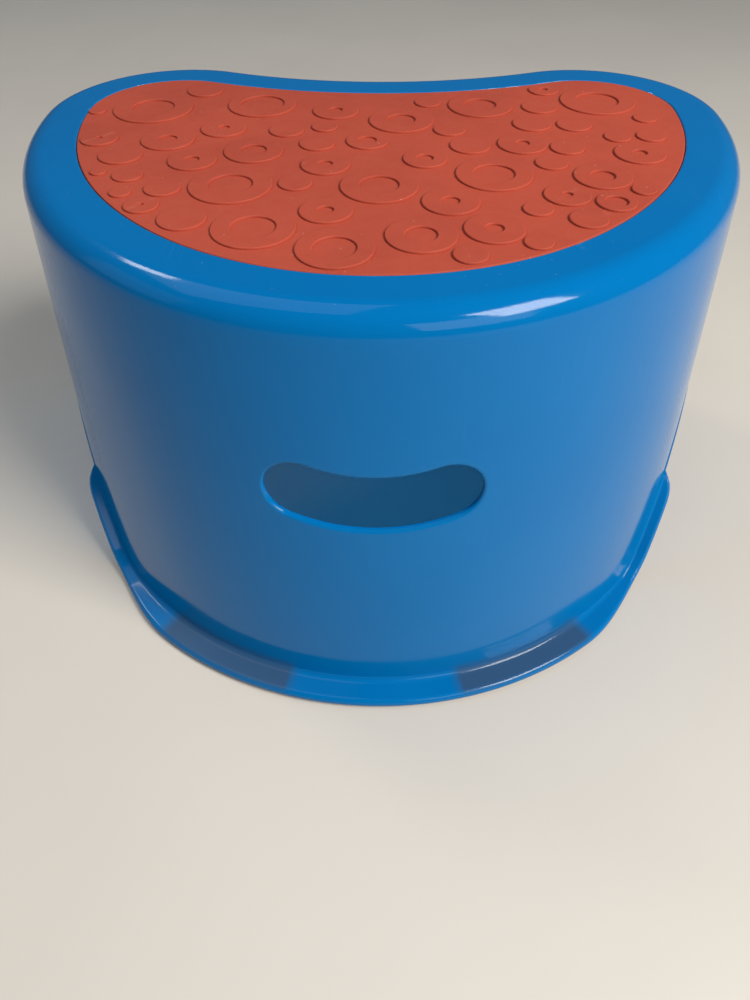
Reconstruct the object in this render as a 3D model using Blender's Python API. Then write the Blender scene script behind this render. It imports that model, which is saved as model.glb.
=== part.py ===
"""Child's moulded step stool: one hollow shell, a soft grip mat in its deck and four soft foot pads.

The front, with the hand hole, faces -Y. The origin is on the floor under the middle of the stool.
"""

import math

import bmesh
import bpy

MM = 0.001

# Overall sizes. The outline is measured at the deck's recess, which the mat fills.
HEIGHT = 203 * MM              # floor to the rim of the deck
RECESS_WIDTH = 280 * MM
RECESS_DEPTH = 193 * MM
FRONT_ANGLE = math.radians(39)  # half the sweep of the shallow front curve
LOBE_RADIUS = 40 * MM           # rounded rear corners
WAIST_ANGLE = math.radians(21)  # how far the lobes turn back into the hollow rear

# Shell.
WALL = 3 * MM
DRAFT = math.tan(math.radians(4.6))
RIM_WIDTH = 24.5 * MM          # recess to the wall's outer face
RIM_RADIUS = 10 * MM
RIM_LIP = 0.6 * MM
RECESS_DROP = 2.5 * MM
RIB_THICKNESS = 2.5 * MM
RIB_DROP = 10 * MM
RIB_SPREAD_X = 90 * MM         # between the two ribs that run front to back
RIB_SPREAD_Y = 60 * MM         # between the two ribs that run side to side

# Lip along the bottom edge.
LIP_WIDTH = 12.5 * MM
LIP_THICKNESS = 5 * MM
LIP_FILLET = 3 * MM

# Side arches, measured along the shell's foot.
ARCH_START = 163 * MM          # from the middle of the front to where the arch leaves the floor
ARCH_SPAN = 182 * MM
ARCH_HEIGHT = 96 * MM
ARCH_SLOPE = math.radians(52)
ARCH_FOOT_RADIUS = 35 * MM
ARCH_TOP_RADIUS = 25 * MM
LIP_TAPER = 52 * MM            # length over which the lip narrows before the arch
LIP_SIDE_SHARE = 0.5          # of its width, where the arch leaves the floor
LIP_TOP_SHARE = 0.04          # of its width, over the top of the arch
LIP_END = (36 * MM, 47 * MM)  # heights between which the lip rounds off

# Hand hole: a slot of constant width on a shallow, smiling arc.
HOLE_WIDTH = 27.3 * MM
HOLE_SPAN = 59 * MM            # between the centres of its round ends
HOLE_DROP = 82 * MM            # rim of the deck to the middle of the slot
HOLE_CURVE_RADIUS = 102 * MM

# Foot pads.
PAD_LENGTH = 70 * MM
PAD_WIDTH = 10.5 * MM
PAD_THICKNESS = 2.5 * MM
POCKET_DEPTH = 1.8 * MM
PAD_MARGIN = 34.6 * MM            # pad to where the arch begins
PAD_INSET = 2.6 * MM           # pad to the lip's outer edge

# Mat.
BUBBLE_RELIEF = 0.9 * MM
SEAT_GAP = 0.3 * MM            # between a soft piece and its seat

# Raised rings and discs: x, y, radius and hole radius in millimetres from the middle of the mat.
BUBBLES = (
    (-88, 80, 9, 0), (81, 81, 7.5, 2), (105, 66, 18, 10), (23, 64, 6.5, 0),
    (-57, 61, 16.5, 10.5), (48, 60, 15.5, 7.5), (76, 58, 8.5, 0), (-109, 56, 19, 10),
    (-21, 53, 11, 3), (-135, 52, 4, 0), (123, 44, 5.5, 0), (10, 41, 15, 6.5),
    (70, 37, 9, 0), (89, 36, 8, 0), (-25, 33, 6, 0), (-71, 31, 10.5, 2.5),
    (32, 30, 7.5, 0), (-42, 29, 8, 0), (121, 23, 6.5, 0), (106, 22, 6, 0),
    (-125, 19, 8.5, 1.2), (-94, 18, 12, 4), (-5, 17, 9.5, 4), (-27, 14, 8, 0),
    (63, 14, 11, 3), (40, 12, 9, 0), (82, 10, 7.5, 0), (-54, 6, 13, 5.5),
    (112, 4, 11, 3), (-111, 1, 9.5, 0), (20, -2, 9.5, 3.5), (-79, -4, 10.5, 3),
    (73, -6, 7, 0), (-22, -8, 10.5, 3), (-116, -16, 3.5, 0), (48, -17, 16, 8.5),
    (-103, -19, 6.5, 0), (92, -19, 12, 5), (-33, -26, 7, 0), (-59, -28, 17, 9),
    (1, -28, 16, 8), (-86, -31, 7.5, 0), (106, -31, 5, 0), (-102, -35, 4.5, 0),
    (75, -36, 9.5, 2), (29, -42, 11.5, 3.5), (93, -42, 8, 4.5), (-91, -46, 7, 1),
    (62, -48, 6, 0), (-19, -50, 10.5, 3), (80, -56, 7.5, 0), (-73, -57, 9.5, 0),
    (-45, -64, 16, 8.5), (44, -64, 11.5, 3.5), (17, -69, 13.5, 6), (59, -74, 5.5, 0),
    (-14, -79, 14.5, 8), (34, -83, 6.5, 0),
)

# How finely the curves are divided.
COLUMNS = 50                   # along half the outline
WALL_LOOPS = 3
CORNER_STEPS = 4
BEAD_STEPS = 4


class Outline:
    """Half of the bean-shaped outline as tangent arcs: front, side, rear lobe and hollow back.

    A place on it is named by its run, the distance along the shell's foot from the middle of the
    front. An offset moves the place outwards along the normal there, so offset arcs stay true.
    """

    def __init__(self):
        sine, cosine = math.sin(FRONT_ANGLE), math.cos(FRONT_ANGLE)
        half_width, reach = RECESS_WIDTH / 2, RECESS_DEPTH - LOBE_RADIUS
        spread = sine + cosine - 1
        front = (half_width * cosine - reach * (1 - sine)) / spread
        side = (reach * sine - half_width * (1 - cosine)) / spread
        back = (half_width - LOBE_RADIUS * (1 + math.sin(WAIST_ANGLE))) / math.sin(WAIST_ANGLE)
        nose = -RECESS_DEPTH / 2
        front_centre = (0.0, nose + front)
        side_centre = ((front - side) * sine, nose + front - (front - side) * cosine)
        lobe_centre = (half_width - LOBE_RADIUS, side_centre[1])
        back_centre = (0.0, lobe_centre[1] + (LOBE_RADIUS + back) * math.cos(WAIST_ANGLE))
        quarter = math.pi / 2
        # Each arc: centre, radius, first angle, last angle and which way its outside faces.
        self.arcs = (
            (front_centre, front, -quarter, FRONT_ANGLE - quarter, 1),
            (side_centre, side, FRONT_ANGLE - quarter, 0.0, 1),
            (lobe_centre, LOBE_RADIUS, 0.0, quarter + WAIST_ANGLE, 1),
            (back_centre, back, WAIST_ANGLE - quarter, -quarter, -1),
        )
        foot = wall_offset(0.0)
        self.lengths = [
            (radius + facing * foot) * abs(last - first)
            for _, radius, first, last, facing in self.arcs
        ]
        self.half_run = sum(self.lengths)

    def point(self, run, offset, mirror=1):
        """(x, y) at this run and offset, on the right half, or on the left where mirror is -1."""
        run = min(max(run, 0.0), self.half_run)
        for (centre, radius, first, last, facing), length in zip(self.arcs, self.lengths):
            if run <= length or facing < 0:
                break
            run -= length
        angle = first + (last - first) * min(run / length, 1.0)
        reach = radius + facing * offset
        return mirror * (centre[0] + reach * math.cos(angle)), centre[1] + reach * math.sin(angle)

    def loop(self, offset):
        """The closed outline at one offset, counter-clockwise from the middle of the front."""
        runs = [self.half_run * i / COLUMNS for i in range(COLUMNS + 1)]
        right = [self.point(run, offset) for run in runs]
        left = [self.point(run, offset, -1) for run in reversed(runs[1:-1])]
        return right + left


def wall_offset(height):
    """How far the skirt's outer face stands outside the recess at this height."""
    return RIM_WIDTH + DRAFT * (HEIGHT - height)


def stand_off():
    """How far the foot pads hold the shell off the floor."""
    return PAD_THICKNESS + SEAT_GAP - POCKET_DEPTH


def arch_rise(run):
    """(height, slope angle) of the shell's bottom edge above its foot at this run."""
    middle = ARCH_START + ARCH_SPAN / 2
    side = 1 if run < middle else -1
    reach = ARCH_SPAN / 2 - abs(run - middle)
    foot_tangent = ARCH_FOOT_RADIUS * math.tan(ARCH_SLOPE / 2)
    top_tangent = ARCH_TOP_RADIUS * math.tan(ARCH_SLOPE / 2)
    crown = ARCH_HEIGHT / math.tan(ARCH_SLOPE)
    if reach <= -foot_tangent:
        return 0.0, 0.0
    if reach >= crown + top_tangent:
        return ARCH_HEIGHT, 0.0
    if reach < foot_tangent * math.cos(ARCH_SLOPE):
        lean = math.asin((reach + foot_tangent) / ARCH_FOOT_RADIUS)
        return ARCH_FOOT_RADIUS * (1 - math.cos(lean)), side * lean
    if reach > crown - top_tangent * math.cos(ARCH_SLOPE):
        lean = math.asin((crown + top_tangent - reach) / ARCH_TOP_RADIUS)
        return ARCH_HEIGHT - ARCH_TOP_RADIUS * (1 - math.cos(lean)), side * lean
    return reach * math.tan(ARCH_SLOPE), side * ARCH_SLOPE


def lip_share(run):
    """How much of its full width the lip keeps: all along the feet, half up the arch, little over its top."""
    reach = ARCH_SPAN / 2 - abs(run - ARCH_START - ARCH_SPAN / 2)
    near = min(max(1 + reach / LIP_TAPER, 0.0), 1.0)
    share = 1 - (1 - LIP_SIDE_SHARE) * near * near * (3 - 2 * near)
    rise, _ = arch_rise(run)
    ended = min(max((rise - LIP_END[0]) / (LIP_END[1] - LIP_END[0]), 0.0), 1.0)
    return LIP_TOP_SHARE + (share - LIP_TOP_SHARE) * math.sqrt(1 - ended * ended)


def arc_points(centre, radius, first, last, steps):
    """Points along an arc, as (across, up) pairs, both ends included."""
    return [
        (
            centre[0] + radius * math.cos(first + (last - first) * i / steps),
            centre[1] + radius * math.sin(first + (last - first) * i / steps),
        )
        for i in range(steps + 1)
    ]


def shell_column(outline, run, mirror):
    """One cross-section of the shell, from the recess floor over the rim and lip to under the deck."""
    floor = HEIGHT - RECESS_DROP
    points = [(*outline.point(run, 0.0, mirror), floor)]
    points.append((*outline.point(run, 0.0, mirror), HEIGHT - RIM_LIP))
    points.append((*outline.point(run, RIM_LIP, mirror), HEIGHT))
    corner = (-RIM_RADIUS, HEIGHT - RIM_RADIUS)
    for across, up in arc_points(corner, RIM_RADIUS, math.pi / 2, 0.0, CORNER_STEPS):
        points.append((*outline.point(run, wall_offset(up) + across, mirror), up))

    rise, slope = arch_rise(run)
    edge = stand_off() + rise

    width_share = lip_share(run)

    def beside_edge(across, along):
        """A point off the outer wall by across, and up the wall from the bottom edge by along."""
        up = edge + along * math.cos(slope)
        out = across * width_share if across > 0 else across
        there = outline.point(run - along * math.sin(slope), wall_offset(up) + out, mirror)
        return (*there, up)

    top = LIP_THICKNESS + LIP_FILLET
    start_up, start_run = HEIGHT - RIM_RADIUS, run
    end_up, end_run = edge + top * math.cos(slope), run - top * math.sin(slope)
    for i in range(1, WALL_LOOPS):
        share = i / WALL_LOOPS
        up = start_up + (end_up - start_up) * share
        here = start_run + (end_run - start_run) * share
        points.append((*outline.point(here, wall_offset(up), mirror), up))
    fillet = arc_points((LIP_FILLET, top), LIP_FILLET, math.pi, 1.5 * math.pi, 2)
    bead_radius = LIP_THICKNESS / 2
    bead_centre = (LIP_WIDTH - bead_radius, bead_radius)
    bead = arc_points(bead_centre, bead_radius, math.pi / 2, -math.pi / 2, BEAD_STEPS)
    points += [beside_edge(across, along) for across, along in fillet + bead]
    points.append(beside_edge(-WALL, 0.0))

    for i in range(1, WALL_LOOPS):
        up = edge + (HEIGHT - RIM_RADIUS - edge) * i / WALL_LOOPS
        points.append((*outline.point(run, wall_offset(up) - WALL, mirror), up))
    return points + under_deck(outline, run, mirror, WALL)


def under_deck(outline, run, mirror, depth):
    """The shell's surface at this depth below its skin, from the skirt's top in to the deck."""
    points = []
    corner = (-RIM_RADIUS, HEIGHT - RIM_RADIUS)
    for across, up in arc_points(corner, RIM_RADIUS - depth, 0.0, math.pi / 2, CORNER_STEPS - 1):
        points.append((*outline.point(run, wall_offset(up) + across, mirror), up))
    points.append((*outline.point(run, depth, mirror), HEIGHT - depth))
    points.append((*outline.point(run, depth, mirror), HEIGHT - RECESS_DROP - depth))
    return points


def new_object(name, mesh_builder, material=None):
    """A mesh object made from a bmesh, with its faces turned outwards."""
    bmesh.ops.remove_doubles(mesh_builder, verts=mesh_builder.verts, dist=1e-7)
    bmesh.ops.recalc_face_normals(mesh_builder, faces=mesh_builder.faces)
    mesh = bpy.data.meshes.new(name)
    mesh_builder.to_mesh(mesh)
    mesh_builder.free()
    mesh.shade_smooth()
    mesh.set_sharp_from_angle(angle=math.radians(30))
    thing = bpy.data.objects.new(name, mesh)
    bpy.context.scene.collection.objects.link(thing)
    if material:
        mesh.materials.append(material)
    else:
        thing.hide_render = True
        thing.display_type = "WIRE"
    return thing


def boolean(thing, operation, other, name):
    """Adds an exact Boolean of thing with a helper."""
    modifier = thing.modifiers.new(name, "BOOLEAN")
    modifier.operation = operation
    modifier.object = other
    modifier.solver = "EXACT"


def material(name, colour, roughness, alpha=1.0):
    """A plain Principled material."""
    made = bpy.data.materials.new(name)
    made.use_nodes = True
    shader = made.node_tree.nodes["Principled BSDF"]
    shader.inputs["Base Color"].default_value = (*colour, 1.0)
    shader.inputs["Roughness"].default_value = roughness
    shader.inputs["Alpha"].default_value = alpha
    return made


def add_prism(builder, loop, low, high):
    """Adds an upright prism over a closed loop of (x, y) points."""
    bottom = [builder.verts.new((x, y, low)) for x, y in loop]
    top = [builder.verts.new((x, y, high)) for x, y in loop]
    builder.faces.new(reversed(bottom))
    builder.faces.new(top)
    for i in range(len(loop)):
        after = (i + 1) % len(loop)
        builder.faces.new((bottom[i], bottom[after], top[after], top[i]))


def loft(outline, column_of):
    """A closed body swept round the outline from the cross-section that column_of gives."""
    runs = [outline.half_run * i / COLUMNS for i in range(COLUMNS + 1)]
    places = [(run, 1) for run in runs] + [(run, -1) for run in reversed(runs[1:-1])]
    builder = bmesh.new()
    columns = [
        [builder.verts.new(point) for point in column_of(outline, run, mirror)]
        for run, mirror in places
    ]
    for i, column in enumerate(columns):
        beside = columns[(i + 1) % len(columns)]
        for j in range(len(column) - 1):
            builder.faces.new((column[j], beside[j], beside[j + 1], column[j + 1]))
    builder.faces.new([column[0] for column in columns])
    builder.faces.new([column[-1] for column in reversed(columns)])
    return builder


def rib_foot():
    """How high above the floor the ribs reach down."""
    return HEIGHT - RECESS_DROP - WALL - RIB_DROP


def rib_trim_column(outline, run, mirror):
    """A cross-section down the middle of the shell's wall, where the ribs end."""
    low = rib_foot() - WALL
    foot = (*outline.point(run, wall_offset(low) - WALL / 2, mirror), low)
    return [foot, *under_deck(outline, run, mirror, WALL / 2)]


def build_ribs(outline):
    """The crossing ribs under the deck, trimmed to end inside the shell's wall."""
    low, top = rib_foot(), HEIGHT
    half = RIB_THICKNESS / 2
    reach = RECESS_WIDTH / 2 + RECESS_DEPTH / 2
    along_x, along_y = bmesh.new(), bmesh.new()
    for side in (-0.5, 0.5):
        x, y = side * RIB_SPREAD_X, side * RIB_SPREAD_Y
        rib = ((-reach, y - half), (reach, y - half), (reach, y + half), (-reach, y + half))
        add_prism(along_x, rib, low, top)
        rib = ((x - half, -reach), (x + half, -reach), (x + half, reach), (x - half, reach))
        add_prism(along_y, rib, low, top)
    ribs = new_object("ribs_along_x", along_x)
    boolean(ribs, "UNION", new_object("ribs_along_y", along_y), "cross_ribs")
    trim = new_object("rib_trim", loft(outline, rib_trim_column))
    boolean(ribs, "INTERSECT", trim, "trim_to_shell")
    return ribs


def build_hole_cutter():
    """The hand hole's slot, run through the front wall."""
    radius = HOLE_WIDTH / 2
    sweep = math.asin(HOLE_SPAN / 2 / HOLE_CURVE_RADIUS)
    centre = (0.0, HEIGHT - HOLE_DROP + HOLE_CURVE_RADIUS)
    down = -math.pi / 2
    end_x = HOLE_CURVE_RADIUS * math.sin(sweep)
    end_z = centre[1] - HOLE_CURVE_RADIUS * math.cos(sweep)
    lower = arc_points(centre, HOLE_CURVE_RADIUS + radius, down - sweep, down + sweep, 16)
    right = arc_points((end_x, end_z), radius, down + sweep, down + sweep + math.pi, 10)
    upper = arc_points(centre, HOLE_CURVE_RADIUS - radius, down + sweep, down - sweep, 16)
    left = arc_points((-end_x, end_z), radius, down - sweep + math.pi, down - sweep + 2 * math.pi, 10)
    loop = lower[:-1] + right[:-1] + upper[:-1] + left[:-1]
    builder = bmesh.new()
    front, back = -RECESS_DEPTH / 2 - 3 * RIM_WIDTH, -RECESS_DEPTH / 4
    near = [builder.verts.new((x, front, z)) for x, z in loop]
    far = [builder.verts.new((x, back, z)) for x, z in loop]
    builder.faces.new(near)
    builder.faces.new(reversed(far))
    for i in range(len(loop)):
        after = (i + 1) % len(loop)
        builder.faces.new((near[i], far[i], far[after], near[after]))
    return new_object("hand_hole_cutter", builder)


def pad_loop(outline, first, mirror, margin):
    """The plan of one foot pad, or of its pocket where margin is its clearance."""
    outer = wall_offset(stand_off()) + LIP_WIDTH - PAD_INSET
    steps = 12
    runs = [first - margin + (PAD_LENGTH + 2 * margin) * i / steps for i in range(steps + 1)]
    outside = [outline.point(run, outer + margin, mirror) for run in runs]
    inside = [outline.point(run, outer - PAD_WIDTH - margin, mirror) for run in reversed(runs)]
    loop = outside + inside
    return loop if mirror > 0 else loop[::-1]


def build_mat(outline, colour):
    """The mat's plate with its raised rings and discs joined on."""
    level = HEIGHT
    sunk = level - RECESS_DROP / 2
    builder = bmesh.new()
    add_prism(builder, outline.loop(-SEAT_GAP), level - RECESS_DROP + SEAT_GAP, level)
    mat = new_object("grip_mat", builder, colour)
    rings = bmesh.new()
    for x, y, radius, hole in BUBBLES:
        add_bubble(rings, x * MM, y * MM, radius * MM, hole * MM, sunk, level + BUBBLE_RELIEF)
    bubbles = new_object("bubbles", rings)
    border = bmesh.new()
    add_prism(border, outline.loop(-2 * SEAT_GAP), level - RECESS_DROP, level + 2 * BUBBLE_RELIEF)
    boolean(bubbles, "INTERSECT", new_object("bubble_border", border), "trim_to_mat")
    boolean(mat, "UNION", bubbles, "raised_bubbles")
    return mat


def add_bubble(builder, x, y, radius, hole, low, high):
    """Adds one raised ring, or a disc where the hole's radius is 0."""
    steps = 18 if radius > 12 * MM else 12

    def circle(reach, up):
        return [
            builder.verts.new((x + reach * math.cos(turn), y + reach * math.sin(turn), up))
            for turn in (2 * math.pi * i / steps for i in range(steps))
        ]

    loops = [circle(radius, low), circle(radius, high)]
    if hole:
        loops += [circle(hole, high), circle(hole, low)]
        loops.append(loops[0])
    for inner, outer in zip(loops, loops[1:]):
        for i in range(steps):
            after = (i + 1) % steps
            builder.faces.new((inner[i], inner[after], outer[after], outer[i]))
    if not hole:
        builder.faces.new(loops[-1])
        builder.faces.new(reversed(loops[0]))


def build():
    outline = Outline()
    blue = material("shell_blue", (0.005, 0.16, 0.42), 0.2)
    orange = material("mat_orange", (0.42, 0.07, 0.04), 0.65)
    shell = new_object("shell", loft(outline, shell_column), blue)
    boolean(shell, "UNION", build_ribs(outline), "deck_ribs")
    boolean(shell, "DIFFERENCE", build_hole_cutter(), "hand_hole")
    build_mat(outline, orange)
    arch_foot = ARCH_FOOT_RADIUS * math.tan(ARCH_SLOPE / 2)
    front = ARCH_START - arch_foot - PAD_MARGIN - PAD_LENGTH
    rear = ARCH_START + ARCH_SPAN + arch_foot + PAD_MARGIN
    for place, first in (("front", front), ("rear", rear)):
        for side, mirror in (("left", -1), ("right", 1)):
            name = f"{place}_{side}_foot_pad"
            pad = bmesh.new()
            add_prism(pad, pad_loop(outline, first, mirror, 0.0), 0.0, PAD_THICKNESS)
            new_object(name, pad, orange)
            pocket = bmesh.new()
            top = stand_off() + POCKET_DEPTH
            add_prism(pocket, pad_loop(outline, first, mirror, SEAT_GAP), -WALL, top)
            boolean(shell, "DIFFERENCE", new_object(name + "_pocket", pocket), name + "_pocket")


for old in list(bpy.data.objects):
    bpy.data.objects.remove(old)
build()
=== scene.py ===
"""Looks of a child's moulded step stool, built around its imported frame.

The stool is one hollow blue moulding with a soft orange-red mat in its deck and four soft pads
under its feet. Every size is in metres, in the frame's own axes: the front faces -Y and the floor
is at z = 0.
"""

from __future__ import annotations

import logging
import math
from dataclasses import dataclass, field
from enum import Enum
from typing import Any

import bmesh
import bpy
import numpy as np
from mathutils import Matrix, Vector
from mathutils.bvhtree import BVHTree

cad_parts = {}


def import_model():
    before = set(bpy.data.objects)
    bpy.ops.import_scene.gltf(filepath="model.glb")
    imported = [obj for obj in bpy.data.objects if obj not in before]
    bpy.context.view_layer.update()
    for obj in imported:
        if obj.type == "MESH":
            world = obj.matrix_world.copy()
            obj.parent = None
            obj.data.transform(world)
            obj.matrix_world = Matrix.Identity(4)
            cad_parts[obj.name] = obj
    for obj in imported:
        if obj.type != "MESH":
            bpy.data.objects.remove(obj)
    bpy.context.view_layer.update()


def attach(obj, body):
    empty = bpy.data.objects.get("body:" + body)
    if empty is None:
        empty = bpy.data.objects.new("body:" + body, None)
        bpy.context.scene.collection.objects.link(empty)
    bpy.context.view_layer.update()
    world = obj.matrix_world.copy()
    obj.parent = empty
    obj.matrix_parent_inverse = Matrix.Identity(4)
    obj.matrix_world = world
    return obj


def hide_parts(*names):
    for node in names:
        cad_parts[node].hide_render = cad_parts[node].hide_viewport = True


LOG = logging.getLogger("step_stool")
MM = 0.001
ROOT = "root"
SEAT_GAP = 0.3 * MM  # between a soft piece and the moulding it sits in
WELD = 1e-7  # points this close are one

Colour = tuple[float, float, float]


class Side(Enum):
    """Which half of the stool a piece is on, as seen from the front."""

    LEFT = -1
    RIGHT = 1


class End(Enum):
    """Which end of the stool a foot pad is at."""

    FRONT = "front"
    REAR = "rear"


class Slot(Enum):
    """The record's material slots."""

    SHELL = "shell"
    MAT = "mat"
    FOOT_PAD = "foot_pad"


# ------------------------------------------------------------------ shapes the pieces share


@dataclass
class BeanOutline:
    """The bean-shaped outline at the edge of the deck's recess, as tangent arcs.

    A place on it is named by its run: the distance from the middle of the front along the
    moulding's foot. An offset moves the place outwards along the normal there, so offset arcs stay
    true.
    """

    width: float = 280 * MM
    depth: float = 193 * MM
    foot_offset: float = 39 * MM
    front_angle: float = math.radians(39)
    lobe_radius: float = 40 * MM
    waist_angle: float = math.radians(21)
    arcs: np.ndarray = field(init=False)
    starts: np.ndarray = field(init=False)
    half_run: float = field(init=False)

    def __post_init__(self) -> None:
        """Works out the right half's four arcs: front, side, rear lobe and hollow back."""
        sine, cosine = math.sin(self.front_angle), math.cos(self.front_angle)
        half_width, reach = self.width / 2, self.depth - self.lobe_radius
        spread = sine + cosine - 1
        front = (half_width * cosine - reach * (1 - sine)) / spread
        side = (reach * sine - half_width * (1 - cosine)) / spread
        waist = math.sin(self.waist_angle)
        back = (half_width - self.lobe_radius * (1 + waist)) / waist
        nose = -self.depth / 2
        side_centre = ((front - side) * sine, nose + front - (front - side) * cosine)
        lobe_centre = (half_width - self.lobe_radius, side_centre[1])
        back_y = lobe_centre[1] + (self.lobe_radius + back) * math.cos(self.waist_angle)
        quarter = math.pi / 2
        # Each row: centre x and y, radius, first and last angle, which way its outside faces.
        self.arcs = np.array(
            [
                (0.0, nose + front, front, -quarter, self.front_angle - quarter, 1.0),
                (*side_centre, side, self.front_angle - quarter, 0.0, 1.0),
                (*lobe_centre, self.lobe_radius, 0.0, quarter + self.waist_angle, 1.0),
                (0.0, back_y, back, self.waist_angle - quarter, -quarter, -1.0),
            ]
        )
        _, _, radius, first, last, facing = self.arcs.T
        lengths = (radius + facing * self.foot_offset) * np.abs(last - first)
        self.starts = np.concatenate([[0.0], np.cumsum(lengths)])
        self.half_run = float(self.starts[-1])

    def place(self, run: np.ndarray, offset: np.ndarray, mirror: np.ndarray) -> np.ndarray:
        """Plan positions of points on the outline.

        Args:
            run: distance along the outline from the middle of the front.
            offset: how far outside the recess, along the normal.
            mirror: 1 on the right half and -1 on the left.

        Returns:
            An array whose last axis is (x, y).
        """
        run, offset, mirror = np.broadcast_arrays(run, offset, mirror)
        along = np.clip(run, 0.0, self.half_run)
        index = np.clip(np.searchsorted(self.starts, along, side="right") - 1, 0, 3)
        centre_x, centre_y, radius, first, last, facing = np.moveaxis(self.arcs[index], -1, 0)
        share = (along - self.starts[index]) / (self.starts[index + 1] - self.starts[index])
        angle = first + (last - first) * share
        reach = radius + facing * offset
        x = mirror * (centre_x + reach * np.cos(angle))
        return np.stack([x, centre_y + reach * np.sin(angle)], axis=-1)

    def front_y(self, x: np.ndarray, offset: np.ndarray) -> np.ndarray:
        """How far back the front curve lies at this offset."""
        _, centre_y, radius = self.arcs[0][:3]
        return centre_y - np.sqrt((radius + offset) ** 2 - x**2)


@dataclass
class SideArch:
    """The rounded cut-out in each side of the moulding, as the height of its bottom edge."""

    start: float = 163 * MM
    span: float = 182 * MM
    height: float = 96 * MM
    slope: float = math.radians(52)
    foot_radius: float = 35 * MM
    top_radius: float = 25 * MM

    @property
    def foot_tangent(self) -> float:
        """How far outside the arch's nominal span its foot begins to curve."""
        return self.foot_radius * math.tan(self.slope / 2)

    def rise(self, run: np.ndarray) -> tuple[np.ndarray, np.ndarray]:
        """The bottom edge above the foot.

        Args:
            run: distance along the outline from the middle of the front.

        Returns:
            Heights, and slope angles in the direction of growing run.
        """
        middle = self.start + self.span / 2
        reach = self.span / 2 - np.abs(run - middle)
        top_tangent = self.top_radius * math.tan(self.slope / 2)
        crown = self.height / math.tan(self.slope)
        foot_sine = np.clip((reach + self.foot_tangent) / self.foot_radius, 0.0, 1.0)
        top_sine = np.clip((crown + top_tangent - reach) / self.top_radius, 0.0, 1.0)
        on_foot = reach < self.foot_tangent * math.cos(self.slope)
        on_top = reach > crown - top_tangent * math.cos(self.slope)
        foot_lean, top_lean = np.arcsin(foot_sine), np.arcsin(top_sine)
        foot_rise = self.foot_radius * (1 - np.cos(foot_lean))
        top_rise = self.height - self.top_radius * (1 - np.cos(top_lean))
        straight = reach * math.tan(self.slope)
        rise = np.where(on_foot, foot_rise, np.where(on_top, top_rise, straight))
        lean = np.where(on_foot, foot_lean, np.where(on_top, top_lean, self.slope))
        return rise, np.where(run < middle, lean, -lean)


@dataclass
class HandHole:
    """The smiling slot in the front wall: a band of constant width on a shallow arc."""

    middle_height: float = 121 * MM
    width: float = 27.3 * MM
    end_span: float = 59 * MM
    curve_radius: float = 102 * MM
    outer_round: float = 1.7 * MM
    inner_round: float = 0.8 * MM

    def ring(self, share: np.ndarray, grow: float) -> np.ndarray:
        """Points round the slot as seen from the front.

        Args:
            share: how far round the edge, from 0 at the left end of the lower edge up to 1.
            grow: how far outside the slot's edge.

        Returns:
            Rows of (x, z), counter-clockwise.
        """
        sweep = math.asin(self.end_span / 2 / self.curve_radius)
        half, curve = self.width / 2, self.curve_radius
        lengths = np.array(
            [(curve + half) * 2 * sweep, math.pi * half, (curve - half) * 2 * sweep, math.pi * half]
        )
        starts = np.concatenate([[0.0], np.cumsum(lengths)]) / lengths.sum()
        index = np.clip(np.searchsorted(starts, share % 1.0, side="right") - 1, 0, 3)
        local = (share % 1.0 - starts[index]) / (starts[index + 1] - starts[index])
        down = -math.pi / 2
        first = np.array([down - sweep, down + sweep, down + sweep, down - sweep + math.pi])
        turn = np.array([2 * sweep, math.pi, -2 * sweep, math.pi])
        angle = first[index] + turn[index] * local
        end_x, end_z = self.end_span / 2, self.middle_height + curve * (1 - math.cos(sweep))
        arc_z = self.middle_height + curve
        centre_x = np.array([0.0, end_x, 0.0, -end_x])[index]
        centre_z = np.array([arc_z, end_z, arc_z, end_z])[index]
        radius = np.array([curve + half + grow, half + grow, curve - half - grow, half + grow])
        x = centre_x + radius[index] * np.cos(angle)
        return np.stack([x, centre_z + radius[index] * np.sin(angle)], axis=-1)

    def corner_shares(self) -> tuple[float, float, float, float]:
        """Shares at the slot's lower left, lower right, upper right and upper left corners.

        Returns:
            One share for each corner, in that order.
        """
        sweep = math.asin(self.end_span / 2 / self.curve_radius)
        half, curve = self.width / 2, self.curve_radius
        lower, upper = (curve + half) * 2 * sweep, (curve - half) * 2 * sweep
        end, whole = math.pi * half, lower + upper + 2 * math.pi * half
        eighth = 0.25 * end
        return (
            -eighth / whole,
            (lower + eighth) / whole,
            (lower + end - eighth) / whole,
            (lower + end + upper + eighth) / whole,
        )


def arc(centre: tuple[float, float], radius: float, first: float, last: float,
        steps: int) -> list[tuple[float, float]]:
    """Points along a circular arc.

    Args:
        centre: its centre, as (across, up).
        radius: its radius.
        first: first angle in degrees.
        last: last angle in degrees.
        steps: how many pieces it is divided into.

    Returns:
        (across, up) pairs, both ends included.
    """
    turns = [math.radians(first + (last - first) * i / steps) for i in range(steps + 1)]
    return [(centre[0] + radius * math.cos(t), centre[1] + radius * math.sin(t)) for t in turns]


def new_object(name: str, mesh: bpy.types.Mesh) -> bpy.types.Object:
    """Puts a mesh in the scene.

    Args:
        name: the object's name.
        mesh: its mesh.

    Returns:
        The object, at the origin.
    """
    thing = bpy.data.objects.new(name, mesh)
    bpy.context.scene.collection.objects.link(thing)
    return thing


def both_halves(half: np.ndarray) -> tuple[np.ndarray, np.ndarray]:
    """Columns all round the outline from those of its right half.

    Args:
        half: runs of the right half's columns, with both its ends.

    Returns:
        The run of each column, and 1 or -1 for its half, counter-clockwise from the front.
    """
    run = np.concatenate([half, half[-2:0:-1]])
    return run, np.where(np.arange(len(run)) < len(half), 1.0, -1.0)


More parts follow.
